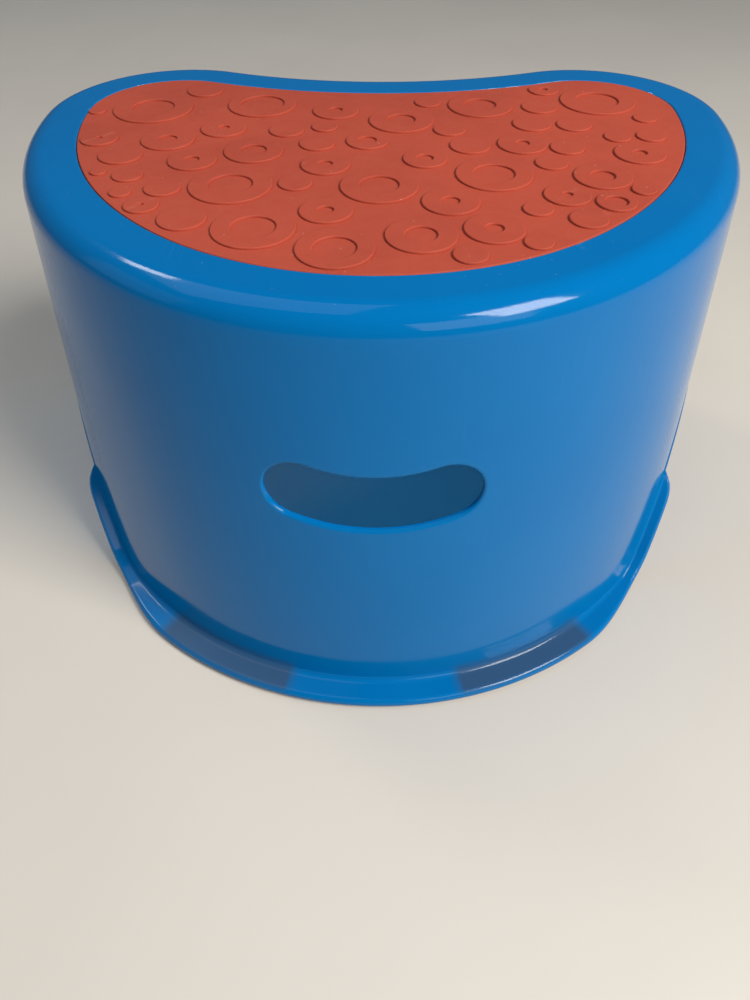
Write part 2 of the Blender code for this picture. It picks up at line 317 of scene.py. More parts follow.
def mesh_from(name: str, points: list[np.ndarray], faces: list[tuple[int, ...]],
              sharp_angle: float = 30.0) -> bpy.types.Mesh:
    """A closed mesh with its faces turned outwards and its corners kept crisp.

    Args:
        name: the mesh's name.
        points: arrays of (x, y, z) rows, numbered in this order.
        faces: vertex numbers of each face.
        sharp_angle: edges that turn by more than this many degrees stay sharp.

    Returns:
        The mesh.
    """
    mesh = bpy.data.meshes.new(name)
    mesh.from_pydata(np.concatenate(points).tolist(), [], faces)
    finish_mesh(mesh, sharp_angle)
    return mesh


def finish_mesh(mesh: bpy.types.Mesh, sharp_angle: float = 30.0) -> None:
    """Merges doubled points, turns the faces outwards and smooths all but sharp edges.

    Args:
        mesh: the mesh to finish.
        sharp_angle: edges that turn by more than this many degrees stay sharp.
    """
    builder = bmesh.new()
    builder.from_mesh(mesh)
    bmesh.ops.remove_doubles(builder, verts=builder.verts, dist=WELD)
    bmesh.ops.recalc_face_normals(builder, faces=builder.faces)
    builder.to_mesh(mesh)
    builder.free()
    mesh.shade_smooth()
    mesh.set_sharp_from_angle(angle=math.radians(sharp_angle))


def strip(first: np.ndarray, second: np.ndarray) -> list[tuple[int, ...]]:
    """Faces between two closed loops.

    Args:
        first: vertex numbers of one loop.
        second: vertex numbers of the other, as many.

    Returns:
        One quad for each step round the loops.
    """
    after_first, after_second = np.roll(first, -1), np.roll(second, -1)
    return [tuple(row) for row in np.stack([first, after_first, after_second, second], 1).tolist()]


def lofted(rows: int, columns: int, first: int = 0) -> list[tuple[int, ...]]:
    """Faces of a closed body made of loops laid one after another, with its two ends capped.

    Args:
        rows: how many loops.
        columns: how many points in each.
        first: number of the first point.

    Returns:
        The faces, as vertex numbers.
    """
    ids = first + np.arange(rows * columns).reshape(rows, columns)
    faces = [face for one, other in zip(ids, ids[1:]) for face in strip(one, other)]
    return faces + [tuple(ids[0].tolist()), tuple(ids[-1].tolist())]


def store(mesh: bpy.types.Mesh, label: str, values: np.ndarray) -> None:
    """Stores a number or a vector on each point of a mesh.

    Args:
        mesh: the mesh.
        label: the attribute's name.
        values: one number, or one row of three, for each point.
    """
    kind, key = ("FLOAT_VECTOR", "vector") if np.ndim(values) == 2 else ("FLOAT", "value")
    layer = mesh.attributes.new(label, kind, "POINT")
    layer.data.foreach_set(key, np.asarray(values, np.float32).ravel())


def baked(thing: bpy.types.Object, name: str) -> bpy.types.Mesh:
    """The mesh that an object's modifiers make, as plain data.

    Args:
        thing: the object with its modifiers.
        name: the new mesh's name.

    Returns:
        The plain mesh.
    """
    graph = bpy.context.evaluated_depsgraph_get()
    graph.update()
    mesh = bpy.data.meshes.new_from_object(thing.evaluated_get(graph), depsgraph=graph)
    mesh.name = name
    return mesh


def discard(*things: bpy.types.Object) -> None:
    """Removes helpers from the file."""
    for thing in things:
        mesh = thing.data
        bpy.data.objects.remove(thing)
        if mesh.users == 0:
            bpy.data.meshes.remove(mesh)


def settle(piece: bpy.types.Object, slot: Slot, *nodes: str) -> None:
    """Fixes a finished piece to the frame.

    Args:
        piece: the finished piece.
        slot: not used.
        nodes: the CAD nodes that it stands for.
    """
    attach(piece, ROOT)
    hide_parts(*nodes)
    LOG.info("%s: %d faces", piece.name, len(piece.data.polygons))


# ------------------------------------------------------------------ node trees


class Nodes:
    """A node tree while it is being wired."""

    def __init__(self, tree: bpy.types.NodeTree) -> None:
        """Starts with an empty tree."""
        self.tree = tree
        tree.nodes.clear()

    def add(self, kind: str, inputs: dict[str | int, Any] | None = None,
            **settings: Any) -> bpy.types.Node:
        """Adds a node.

        Args:
            kind: the node's type.
            inputs: values or sockets by input name or number.
            settings: the node's own options.

        Returns:
            The node.
        """
        node = self.tree.nodes.new(kind)
        for name, value in settings.items():
            setattr(node, name, value)
        for key, value in (inputs or {}).items():
            if isinstance(value, bpy.types.NodeSocket):
                self.tree.links.new(value, node.inputs[key])
            else:
                node.inputs[key].default_value = value
        return node

    def math(self, operation: str, *values: Any, clamp: bool = False) -> bpy.types.NodeSocket:
        """One Math node, in shader and geometry trees alike."""
        inputs = dict(enumerate(values))
        return self.add("ShaderNodeMath", inputs, operation=operation, use_clamp=clamp).outputs[0]

    def noise(self, place: Any, scale: Any, detail: float, **more: float) -> bpy.types.NodeSocket:
        """A noise texture's value, with its other inputs named with a capital."""
        inputs = {"Vector": place, "Scale": scale, "Detail": detail, **more}
        return self.add("ShaderNodeTexNoise", inputs).outputs[0]

    def vector(self, operation: str, *values: Any) -> bpy.types.NodeSocket:
        """One Vector Math node that gives a vector."""
        inputs = dict(enumerate(values))
        return self.add("ShaderNodeVectorMath", inputs, operation=operation).outputs[0]

    def effect(self, group: bpy.types.NodeTree, place: bpy.types.NodeSocket,
               **values: float) -> bpy.types.bpy_prop_collection:
        """Places a shared effect and gives its outputs."""
        return self.add("ShaderNodeGroup", {"Vector": place, **values}, node_tree=group).outputs

    def blend(self, share: Any, first: Any, second: Colour) -> bpy.types.NodeSocket:
        """A mix of two colours.

        Args:
            share: how much of the second, from 0 to 1.
            first: a colour or a socket.
            second: a colour.

        Returns:
            The mixed colour.
        """
        start = (*first, 1.0) if isinstance(first, tuple) else first
        inputs = {0: share, 6: start, 7: (*second, 1.0)}
        return self.add("ShaderNodeMix", inputs, data_type="RGBA").outputs[2]

    def between(self, value: Any, low: float, high: float, to_low: float = 0.0,
                to_high: float = 1.0) -> bpy.types.NodeSocket:
        """A value carried smoothly from one range to another.

        Args:
            value: the number or socket to carry.
            low: start of its range.
            high: end of its range.
            to_low: what the start becomes.
            to_high: what the end becomes.

        Returns:
            The new value.
        """
        inputs = {0: value, 1: low, 2: high, 3: to_low, 4: to_high}
        node = self.add("ShaderNodeMapRange", inputs, interpolation_type="SMOOTHSTEP")
        return node.outputs[0]


def sockets(tree: bpy.types.NodeTree, inputs: dict[str, tuple[str, Any]],
            outputs: dict[str, str]) -> None:
    """Names a tree's inputs and outputs.

    Args:
        tree: the tree.
        inputs: socket type and default value by name, in order.
        outputs: socket type by name, in order.
    """
    for name, (kind, value) in inputs.items():
        made = tree.interface.new_socket(name, in_out="INPUT", socket_type="NodeSocket" + kind)
        if value is not None:
            made.default_value = value
    for name, kind in outputs.items():
        tree.interface.new_socket(name, in_out="OUTPUT", socket_type="NodeSocket" + kind)


def run_tree(thing: bpy.types.Object, tree: bpy.types.NodeTree, values: dict[str, Any],
             name: str) -> bpy.types.Mesh:
    """Runs a geometry tree on an object and gives what it makes as a plain mesh.

    Args:
        thing: the object whose mesh goes in.
        tree: the geometry tree.
        values: its inputs by name.
        name: the new mesh's name.

    Returns:
        The plain mesh.
    """
    modifier = thing.modifiers.new(tree.name, "NODES")
    modifier.node_group = tree
    for item in tree.interface.items_tree:
        if item.item_type == "SOCKET" and item.in_out == "INPUT" and item.name in values:
            modifier[item.identifier] = values[item.name]
    mesh = baked(thing, name)
    thing.modifiers.remove(modifier)
    return mesh


# ------------------------------------------------------------------ effects that finishes share


class Effects:
    """Shader groups for what several finishes show: grain, scratches, dust and worn edges."""

    def __init__(self) -> None:
        """Builds each group once."""
        self.grain = self._grain()
        self.scratches = self._scratches()
        self.dust = self._dust()
        self.wear = self._wear()

    @staticmethod
    def _begin(name: str, inputs: dict[str, tuple[str, Any]],
               outputs: dict[str, str]) -> tuple[Nodes, bpy.types.Node, bpy.types.Node]:
        """A new group with its input and output nodes.

        Args:
            name: the group's name.
            inputs: socket type and default value by name.
            outputs: socket type by name.

        Returns:
            The group being wired, its input node and its output node.
        """
        tree = bpy.data.node_groups.new(name, "ShaderNodeTree")
        sockets(tree, inputs, outputs)
        nodes = Nodes(tree)
        return nodes, nodes.add("NodeGroupInput"), nodes.add("NodeGroupOutput")

    def _grain(self) -> bpy.types.NodeTree:
        """Fine moulded grain over a slower unevenness.

        Returns:
            The group.
        """
        nodes, given, result = self._begin(
            "surface_grain",
            {"Vector": ("Vector", None), "Scale": ("Float", 1500.0), "Coarseness": ("Float", 0.3)},
            {"Height": "Float", "Shade": "Float"},
        )
        place, scale = given.outputs["Vector"], given.outputs["Scale"]
        fine = nodes.noise(place, scale, 3.0, Roughness=0.6)
        slow = nodes.noise(place, nodes.math("MULTIPLY", scale, 0.06), 2.0)
        slow_part = nodes.math("MULTIPLY", slow, given.outputs["Coarseness"])
        height = nodes.math("ADD", fine, slow_part)
        shade = nodes.between(height, 0.35, 0.95)
        nodes.tree.links.new(height, result.inputs["Height"])
        nodes.tree.links.new(shade, result.inputs["Shade"])
        return nodes.tree

    def _scratches(self) -> bpy.types.NodeTree:
        """Sparse hairline scratches in three directions.

        Returns:
            The group.
        """
        nodes, given, result = self._begin(
            "hairline_scratches",
            {"Vector": ("Vector", None), "Amount": ("Float", 1.0)},
            {"Mask": "Float", "Height": "Float"},
        )
        whole: Any = 0.0
        for turn, stretch in (((0.3, 0.5, 0.9), 900.0), ((1.1, 0.2, 2.2), 1300.0),
                              ((0.7, 1.4, 0.1), 1100.0)):
            turned = nodes.add(
                "ShaderNodeMapping",
                {"Vector": given.outputs["Vector"], "Rotation": turn,
                 "Scale": (stretch, 22.0, 22.0)},
            )
            lines = nodes.noise(turned.outputs[0], 1.0, 1.0, Distortion=0.35)
            whole = nodes.math("MAXIMUM", whole, nodes.between(lines, 0.70, 0.735))
        where = nodes.between(nodes.noise(given.outputs["Vector"], 38.0, 1.0), 0.45, 0.7)
        mask = nodes.math("MULTIPLY", nodes.math("MULTIPLY", whole, where),
                          given.outputs["Amount"], clamp=True)
        nodes.tree.links.new(mask, result.inputs["Mask"])
        nodes.tree.links.new(nodes.math("MULTIPLY", mask, -1.0), result.inputs["Height"])
        return nodes.tree

    def _dust(self) -> bpy.types.NodeTree:
        """Tiny specks that have settled, mostly where the surface looks up.

        Returns:
            The group.
        """
        nodes, given, result = self._begin(
            "settled_dust",
            {"Vector": ("Vector", None), "Scale": ("Float", 420.0), "Amount": ("Float", 0.5)},
            {"Mask": "Float"},
        )
        cells = nodes.add(
            "ShaderNodeTexVoronoi",
            {"Vector": given.outputs["Vector"], "Scale": given.outputs["Scale"]},
        )
        chance = nodes.add("ShaderNodeSeparateColor", {0: cells.outputs["Color"]})
        size = nodes.between(chance.outputs[0], 0.90, 1.0, 0.0, 0.15)
        inside = nodes.math("LESS_THAN", cells.outputs["Distance"], size)
        normal = nodes.add("ShaderNodeNewGeometry").outputs["Normal"]
        facing = nodes.add("ShaderNodeSeparateXYZ", {0: normal})
        settled = nodes.between(facing.outputs[2], -0.2, 0.8, 0.12, 1.0)
        mask = nodes.math("MULTIPLY", nodes.math("MULTIPLY", inside, settled),
                          given.outputs["Amount"])
        nodes.tree.links.new(mask, result.inputs["Mask"])
        return nodes.tree

    def _wear(self) -> bpy.types.NodeTree:
        """Where edges have been rubbed.

        Returns:
            The group.
        """
        nodes, given, result = self._begin(
            "edge_wear",
            {"Vector": ("Vector", None), "Low": ("Float", 0.52), "High": ("Float", 0.60)},
            {"Mask": "Float"},
        )
        bend = nodes.add("ShaderNodeNewGeometry").outputs["Pointiness"]
        edge = nodes.add(
            "ShaderNodeMapRange",
            {0: bend, 1: given.outputs["Low"], 2: given.outputs["High"], 3: 0.0, 4: 1.0},
        )
        broken = nodes.between(nodes.noise(given.outputs["Vector"], 160.0, 3.0), 0.35, 0.65)
        mask = nodes.math("MULTIPLY", edge.outputs[0], broken)
        nodes.tree.links.new(mask, result.inputs["Mask"])
        return nodes.tree


# ------------------------------------------------------------------ finishes


@dataclass(frozen=True)
class Finish:
    """What every finish has: a new material whose nodes read the piece's own axes."""

    name: str

    def _start(self) -> tuple[bpy.types.Material, Nodes, bpy.types.NodeSocket]:
        """Starts a material.

        Returns:
            The material, its empty tree and the object coordinates.
        """
        made = bpy.data.materials.new(self.name)
        made.use_nodes = True
        nodes = Nodes(made.node_tree)
        return made, nodes, nodes.add("ShaderNodeTexCoord").outputs["Object"]

    @staticmethod
    def _close(nodes: Nodes, inputs: dict[str | int, Any]) -> None:
        """Ends the tree in one Principled shader."""
        shader = nodes.add("ShaderNodeBsdfPrincipled", inputs)
        nodes.add("ShaderNodeOutputMaterial", {"Surface": shader.outputs[0]})


@dataclass(frozen=True)
class GlossyPlastic(Finish):
    """Blue moulded polypropylene: glossy, faintly uneven, with hairline scratches, dust and painted
    shade over the foot pads.
    """

    colour: Colour = (0.0, 0.138, 0.385)
    pale: Colour = (0.004, 0.190, 0.470)
    worn: Colour = (0.10, 0.33, 0.56)
    dust: Colour = (0.42, 0.46, 0.48)
    pad_shade: Colour = (0.048, 0.050, 0.050)
    roughness: float = 0.10
    gloss: float = 0.20
    scratch_amount: float = 0.15
    dust_amount: float = 0.09
    ripple_scale: float = 260.0

    def material(self, effects: Effects) -> bpy.types.Material:
        """Builds the material.

        Args:
            effects: the shared shader groups.

        Returns:
            The material.
        """
        made, nodes, place = self._start()
        flow = nodes.noise(place, 14.0, 3.0)
        scratches = nodes.effect(effects.scratches, place, Amount=self.scratch_amount)
        dust = nodes.effect(effects.dust, place, Amount=self.dust_amount)["Mask"]
        wear = nodes.effect(effects.wear, place)["Mask"]
        grain = nodes.effect(effects.grain, place, Scale=self.ripple_scale)
        base = nodes.blend(nodes.between(flow, 0.35, 0.65, 0.0, 0.12), self.colour, self.pale)
        base = nodes.blend(nodes.math("MULTIPLY", wear, 0.45), base, self.worn)
        base = nodes.blend(nodes.math("MULTIPLY", scratches["Mask"], 0.25), base, self.worn)
        # Painted shade: the lip's colour is darkened over each foot pad, where the pad would show
        # through the plastic.
        shade = nodes.add("ShaderNodeAttribute", attribute_name=PAD_SHADE).outputs["Fac"]
        base = nodes.blend(shade, base, self.pad_shade)
        base = nodes.blend(dust, base, self.dust)
        rough = nodes.between(flow, 0.3, 0.7, self.roughness - 0.03, self.roughness + 0.04)
        rough = nodes.math("ADD", rough, nodes.math("MULTIPLY", scratches["Mask"], 0.22))
        rough = nodes.math("ADD", rough, nodes.math("MULTIPLY", dust, 0.5), clamp=True)
        ripple = nodes.math("MULTIPLY", grain["Height"], 0.25)
        height = nodes.math("ADD", ripple, scratches["Height"])
        bump = nodes.add("ShaderNodeBump", {"Strength": 0.10, "Distance": 0.0004, "Height": height})
        self._close(
            nodes,
            {"Base Color": base, "Roughness": rough, "Normal": bump.outputs[0], "IOR": 1.5,
             "Specular IOR Level": self.gloss},
        )
        return made


@dataclass(frozen=True)
class SoftRubber(Finish):
    """Orange-red thermoplastic rubber: matt, finely grained and a little rubbed on its edges."""

    colour: Colour = (0.425, 0.061, 0.031)
    dark: Colour = (0.335, 0.045, 0.024)
    worn: Colour = (0.52, 0.13, 0.085)
    dust: Colour = (0.62, 0.42, 0.34)
    roughness: float = 0.62
    gloss: float = 0.22
    dust_amount: float = 0.35
    grain_scale: float = 2600.0
    coarseness: float = 0.45

    def material(self, effects: Effects) -> bpy.types.Material:
        """Builds the material.

        Args:
            effects: the shared shader groups.

        Returns:
            The material.
        """
        made, nodes, place = self._start()
        grain = nodes.effect(effects.grain, place, Scale=self.grain_scale,
                             Coarseness=self.coarseness)
        dust = nodes.effect(effects.dust, place, Amount=self.dust_amount)["Mask"]
        wear = nodes.effect(effects.wear, place)["Mask"]
        flow = nodes.between(nodes.noise(place, 22.0, 4.0), 0.35, 0.7, 0.0, 0.55)
        base = nodes.blend(flow, self.colour, self.dark)
        base = nodes.blend(nodes.math("MULTIPLY", grain["Shade"], 0.22), base, self.worn)
        base = nodes.blend(nodes.math("MULTIPLY", wear, 0.5), base, self.worn)
        base = nodes.blend(dust, base, self.dust)
        rough = nodes.between(grain["Shade"], 0.0, 1.0, self.roughness + 0.1,
                              self.roughness - 0.06)
        bump = nodes.add("ShaderNodeBump", {"Strength": 0.35, "Distance": 0.00025,
                                           "Height": grain["Height"]})
        self._close(nodes, {"Base Color": base, "Roughness": rough, "Normal": bump.outputs[0],
                            "IOR": 1.45, "Specular IOR Level": self.gloss})
        return made


@dataclass(frozen=True)
class FloorPaint(Finish):
    """The plain pale studio floor, with the faintest unevenness."""

    colour: Colour = (0.65, 0.595, 0.52)
    roughness: float = 0.55

    def material(self) -> bpy.types.Material:
        """Builds the material.

        Returns:
            The material.
        """
        made, nodes, place = self._start()
        share = nodes.between(nodes.noise(place, 5.0, 5.0), 0.3, 0.7)
        darker = tuple(0.96 * part for part in self.colour)
        base = nodes.blend(share, self.colour, darker)
        self._close(nodes, {"Base Color": base, "Roughness": self.roughness})
        return made


# ------------------------------------------------------------------ the blue moulding

# Painted shade: a colour mask on the lip, not light passing through the plastic.
PAD_SHADE = "pad_shade"  # where a foot pad darkens the lip above it


@dataclass
class Moulding:
    """The hollow blue moulding: deck with its recess, skirt, side arches, lip and hand hole."""

    outline: BeanOutline
    arch: SideArch
    hole: HandHole
    height: float = 203 * MM
    wall: float = 3 * MM
    draft: float = math.tan(math.radians(4.6))
    rim_width: float = 24.5 * MM
    rim_radius: float = 10 * MM
    rim_lip: float = 0.6 * MM
    recess_drop: float = 2.5 * MM
    lip_width: float = 12.5 * MM
    lip_taper: float = 52 * MM
    lip_side_share: float = 0.5
    lip_top_share: float = 0.04
    lip_end: tuple[float, float] = (36 * MM, 47 * MM)
    lip_thickness: float = 5 * MM
    lip_fillet: float = 3 * MM
    edge_break: float = 0.5 * MM
    stand_off: float = 1 * MM
    pocket_depth: float = 1.8 * MM
    rib_thickness: float = 2.5 * MM
    rib_drop: float = 10 * MM
    rib_spread_x: float = 90 * MM
    rib_spread_y: float = 60 * MM
    pad_shade_reach: float = 2.5 * MM
    pad_shade_height: float = 13 * MM
    pad_shade_most: float = 0.8
    measuring_steps: int = 4001
    half_columns: int = 200
    wall_rows: int = 46
    hole_rows: tuple[int, int] = (11, 24)
    hole_run: float = 58 * MM

    def wall_offset(self, up: np.ndarray | float) -> np.ndarray | float:
        """How far the skirt's outer face stands outside the recess, at a height."""
        return self.rim_width + self.draft * (self.height - up)

    def column_runs(self) -> tuple[np.ndarray, np.ndarray]:
        """Where the columns stand: evenly along the bottom edge, so that steep edges get more.

        Returns:
            The run of each column, and 1 or -1 for its half, counter-clockwise from the front.
        """
        fine = np.linspace(0.0, self.outline.half_run, self.measuring_steps)
        rise, _ = self.arch.rise(fine)
        travelled = np.concatenate([[0.0], np.cumsum(np.hypot(np.diff(fine), np.diff(rise)))])
        wanted = np.linspace(0.0, travelled[-1], self.half_columns + 1)
        return both_halves(np.interp(wanted, travelled, fine))

    def ring_at(self, run: np.ndarray, mirror: np.ndarray, offset: Any, up: Any) -> np.ndarray:
        """One row of the moulding's grid.

        Args:
            run: run of each column.
            mirror: half of each column.
            offset: distance outside the recess, one for all or one each.
            up: height, one for all or one each.

        Returns:
            Rows of (x, y, z).
        """
        plan = self.outline.place(run, np.asarray(offset, float), mirror)
        tall = np.broadcast_to(np.asarray(up, float), run.shape)
        return np.concatenate([plan, tall[:, None]], axis=1)

    def rim_rows(self, run: np.ndarray, mirror: np.ndarray) -> list[np.ndarray]:
        """Rows from the recess floor over the flat rim and round its outer edge.

        Args:
            run: run of each column.
            mirror: 1 or -1 for the half each column is on.

        Returns:
            One array of (x, y, z) for each row.
        """
        top, lip = self.height, self.rim_lip
        flat_end = self.rim_width - self.rim_radius
        section = [(0.0, top - self.recess_drop), (0.0, top - lip)]
        section += arc((lip, top - lip), lip, 180, 90, 3)[1:]
        section += [(lip + 0.4 * MM, top), (0.5 * flat_end, top), (flat_end - 0.4 * MM, top)]
        rows = [self.ring_at(run, mirror, across, up) for across, up in section]
        corner = (-self.rim_radius, top - self.rim_radius)
        for across, up in arc(corner, self.rim_radius, 90, 0, 10):
            rows.append(self.ring_at(run, mirror, self.wall_offset(up) + across, up))
        return rows

    def outer_wall_rows(self, run: np.ndarray, mirror: np.ndarray) -> list[np.ndarray]:
        """Rows down the outside of the skirt, from the rim's edge to the lip's fillet.

        Args:
            run: run of each column.
            mirror: 1 or -1 for the half each column is on.

        Returns:
            One array of (x, y, z) for each row.
        """
        rise, slope = self.arch.rise(run)
        edge, top = self.stand_off + rise, self.lip_thickness + self.lip_fillet
        start, end = self.height - self.rim_radius, edge + top * np.cos(slope)
        rows = []
        for share in np.linspace(0.0, 1.0, self.wall_rows + 1)[1:]:
            up = start + (end - start) * share
            here = run - top * np.sin(slope) * share
            rows.append(self.ring_at(here, mirror, self.wall_offset(up), up))
        return rows

    def lip_share(self, run: np.ndarray) -> np.ndarray:
        """How much of its width the lip keeps, which narrows before the arch and ends up its side.

        Args:
            run: distance along the outline from the middle of the front.

        Returns:
            Shares of the full width.
        """
        reach = self.arch.span / 2 - np.abs(run - self.arch.start - self.arch.span / 2)
        near = np.clip(1 + reach / self.lip_taper, 0.0, 1.0)
        share = 1 - (1 - self.lip_side_share) * near * near * (3 - 2 * near)
        first, last = self.lip_end
        ended = np.clip((self.arch.rise(run)[0] - first) / (last - first), 0.0, 1.0)
        return self.lip_top_share + (share - self.lip_top_share) * np.sqrt(1 - ended ** 2)

    def lip_rows(self, run: np.ndarray, mirror: np.ndarray) -> list[np.ndarray]:
        """Rows round the lip's fillet, rounded bead and underside.

        Args:
            run: run of each column.
            mirror: 1 or -1 for the half each column is on.

        Returns:
            One array of (x, y, z) for each row.
        """
        rise, slope = self.arch.rise(run)
        edge, bead, share = self.stand_off + rise, self.lip_thickness / 2, self.lip_share(run)
        fillet_centre = (self.lip_fillet, self.lip_thickness + self.lip_fillet)
        section = arc(fillet_centre, self.lip_fillet, 180, 270, 6)[1:]
        section += arc((self.lip_width - bead, bead), bead, 90, -90, 14)
        section += arc((self.edge_break - self.wall, self.edge_break), self.edge_break, 270, 180, 3)
        rows = []
        for across, along in section:
            up = edge + along * np.cos(slope)
            here = run - along * np.sin(slope)
            out = across * share if across > 0 else across
            rows.append(self.ring_at(here, mirror, self.wall_offset(up) + out, up))
        return rows

    def inner_wall_rows(self, run: np.ndarray, mirror: np.ndarray) -> list[np.ndarray]:
        """Rows up the inside of the skirt.

        Args:
            run: run of each column.
            mirror: 1 or -1 for the half each column is on.

        Returns:
            One array of (x, y, z) for each row.
        """
        rise, _ = self.arch.rise(run)
        start, edge = self.height - self.rim_radius, self.stand_off + rise + 2 * self.edge_break
        rows = []
        for share in np.linspace(1.0, 0.0, self.wall_rows + 1):
            up = start + (edge - start) * share
            rows.append(self.ring_at(run, mirror, self.wall_offset(up) - self.wall, up))
        return rows

    def under_deck_rows(self, run: np.ndarray, mirror: np.ndarray,
                        depth: float) -> list[np.ndarray]:
        """Rows below the skin, from the skirt's top in to the deck.

        Args:
            run: run of each column.
            mirror: 1 or -1 for the half each column is on.
            depth: how far below the skin.

        Returns:
            One array of (x, y, z) for each row.
        """
        corner = (-self.rim_radius, self.height - self.rim_radius)
        rows = []
        for across, up in arc(corner, self.rim_radius - depth, 0, 90, 6)[1:]:
            rows.append(self.ring_at(run, mirror, self.wall_offset(up) + across, up))
        rows.append(self.ring_at(run, mirror, depth, self.height - depth))
        rows.append(self.ring_at(run, mirror, depth, self.height - self.recess_drop - depth))
        return rows

    def skin(self) -> bpy.types.Mesh:
        """The closed moulding with its hand hole, before its ribs and pad pockets.

        Returns:
            The mesh.
        """
        run, mirror = self.column_runs()
        rim = self.rim_rows(run, mirror)
        outer, inner = self.outer_wall_rows(run, mirror), self.inner_wall_rows(run, mirror)
        lip = self.lip_rows(run, mirror)
        rows = rim + outer + lip + inner + self.under_deck_rows(run, mirror, self.wall)
        columns = len(run)
        ids = np.arange(len(rows) * columns).reshape(len(rows), columns)
        first_outer, first_inner = len(rim) - 1, len(rim) + len(outer) + len(lip)
        high, low = self.hole_rows
        half = int(np.searchsorted(run[: self.half_columns], self.hole_run))
        window = np.arange(-half, half + 1) % columns
        outer_block = ids[first_outer + high : first_outer + low + 1][:, window]
        inner_top = first_inner + self.wall_rows - low
        inner_block = ids[inner_top : inner_top + low - high + 1][::-1][:, window]
        left_out = np.zeros(ids.shape, bool)
        for block in (outer_block[:-1, :-1], inner_block[1:, :-1]):
            left_out.flat[block.reshape(-1)] = True
        faces = []
        for row in range(len(rows) - 1):
            quads = strip(ids[row], ids[row + 1])
            faces += [quad for quad, skip in zip(quads, left_out[row]) if not skip]
        faces += [tuple(ids[0].tolist()), tuple(ids[-1].tolist())]
        grid = np.concatenate(rows)
        more, patch = self.hole_patch(grid, outer_block, inner_block, len(grid))
        return mesh_from("moulding_skin", [grid, *more], faces + patch)

    def hole_patch(self, grid: np.ndarray, outer_block: np.ndarray, inner_block: np.ndarray,
                   first_id: int) -> tuple[list[np.ndarray], list[tuple[int, ...]]]:
        """The hand hole's rounded edge and the wall round it, inside and out.

        Args:
            grid: the moulding's points so far.
            outer_block: numbers of the outer wall's points round the hole, top row first.
            inner_block: the same on the inner wall.
            first_id: the number that the next point gets.

        Returns:
            New arrays of points, and the faces that join them.
        """
        around = [self.border(block) for block in (outer_block, inner_block)]
        shares = self.border_shares(*outer_block.shape)
        hole, loops = self.hole, [around[0]]
        points: list[np.ndarray] = []

        def add(flat: np.ndarray, depth: float) -> None:
            """Adds a loop in the wall.

            Args:
                flat: its points as (x, z) rows.
                depth: how far in from the wall's outer face.
            """
            offset = self.wall_offset(flat[:, 1]) - depth
            y = self.outline.front_y(flat[:, 0], offset)
            points.append(np.stack([flat[:, 0], y, flat[:, 1]], axis=1))
            start = first_id + (len(points) - 1) * len(flat)
            loops.append(np.arange(start, start + len(flat)))

        shrink = (0.78, 0.58, 0.4, 0.25, 0.13, 0.05)
        outside, inside = grid[around[0]][:, [0, 2]], grid[around[1]][:, [0, 2]]
        edge = hole.ring(shares, hole.outer_round)
        for share in shrink:
            add(edge + (outside - edge) * share, 0.0)
        for turn in np.linspace(0.0, math.pi / 2, 8):
            grow = hole.outer_round * (1 - math.sin(turn))
            add(hole.ring(shares, grow), hole.outer_round * (1 - math.cos(turn)))
        for turn in np.linspace(0.0, math.pi / 2, 5):
            grow = hole.inner_round * (1 - math.cos(turn))
            add(hole.ring(shares, grow), self.wall - hole.inner_round * (1 - math.sin(turn)))
        edge = hole.ring(shares, hole.inner_round)
        for share in reversed(shrink):
            add(edge + (inside - edge) * share, self.wall)
        loops.append(around[1])
        faces = [face for one, other in zip(loops, loops[1:]) for face in strip(one, other)]
        return points, faces

    @staticmethod
    def border(block: np.ndarray) -> np.ndarray:
        """The numbers round a block's edge.

        Args:
            block: numbers of a grid of points, top row first.

        Returns:
            The border's numbers, counter-clockwise from its lower left.
        """
        sides = (block[-1, :-1], block[:0:-1, -1], block[0, :0:-1], block[:-1, 0])
        return np.concatenate(sides)

    def border_shares(self, rows: int, columns: int) -> np.ndarray:
        """Which place round the hand hole goes with each place round a block's edge.

        Args:
            rows: how many rows of points the block has.
            columns: how many columns.

        Returns:
            Shares of the way round the hole, in the order of border().
        """
        corners = [*self.hole.corner_shares(), self.hole.corner_shares()[0] + 1.0]
        counts = (columns, rows, columns, rows)
        sides = [
            np.linspace(first, last, count)[:-1]
            for first, last, count in zip(corners, corners[1:], counts)
        ]
        return np.concatenate(sides)

    def rib_trim(self) -> bpy.types.Mesh:
        """A closed body that ends in the middle of the moulding's wall, where the ribs stop.

        Returns:
            The mesh.
        """
        run, mirror = self.column_runs()
        run, mirror = run[::2], mirror[::2]
        low = self.rib_foot() - self.wall
        foot = self.ring_at(run, mirror, self.wall_offset(low) - self.wall / 2, low)
        rows = [foot, *self.under_deck_rows(run, mirror, self.wall / 2)]
        return mesh_from("rib_trim", rows, lofted(len(rows), len(run)))

    def rib_foot(self) -> float:
        """How high above the floor the ribs reach down."""
        return self.height - self.recess_drop - self.wall - self.rib_drop

    def rib_blank(self) -> bpy.types.Mesh:
        """One long rib with its lower edges rounded, lying along X through the origin.

        Returns:
            The mesh.
        """
        half, low, top, soft = self.rib_thickness / 2, self.rib_foot(), self.height, 0.6 * MM
        reach = self.outline.width / 2 + self.outline.depth / 2
        section = arc((half - soft, low + soft), soft, 0, -90, 4)
        section += arc((soft - half, low + soft), soft, -90, -180, 4)
        section += [(-half, top), (half, top)]
        ends = [np.array([(x, across, up) for across, up in section]) for x in (-reach, reach)]
        return mesh_from("rib_blank", ends, lofted(len(ends), len(section)))

